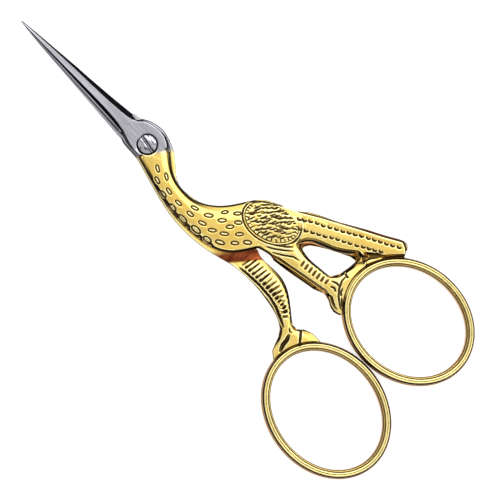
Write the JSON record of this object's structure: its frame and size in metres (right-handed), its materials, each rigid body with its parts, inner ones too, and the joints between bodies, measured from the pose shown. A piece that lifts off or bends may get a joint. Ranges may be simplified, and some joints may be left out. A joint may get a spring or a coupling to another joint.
{
  "type": "embroidery scissors",
  "caption": "Small embroidery scissors shaped like a standing stork: pointed steel blades as the beak, a slotted pivot screw as the eye, and gold-plated handles with oval finger bows.",
  "frame": {"origin": "on the pivot's axis, at the plane that the scissors lie on", "axes": "+X from the pivot to the finger bows, so the tips point to -X; +Y to the side of the stork's tail; +Z along the pivot's axis, out of the screw's head"},
  "size_m": [0.0902, 0.0388, 0.0029],
  "materials": {
    "gold_plated_steel": "forged steel with polished gold plating on the handles; the blades and the boss are left as polished steel",
    "screw_steel": "turned and lightly polished steel"
  },
  "bodies": {
    "rear": {"rear_half": "gold_plated_steel", "pivot_screw": "screw_steel"},
    "front": {"front_half": "gold_plated_steel"}
  },
  "joints": [
    {"name": "pivot", "type": "hinge", "parent": "rear", "child": "front", "pos_m": [0, 0, 0], "axis": [0, 0, 1], "range_deg": [0, 90]}
  ]
}
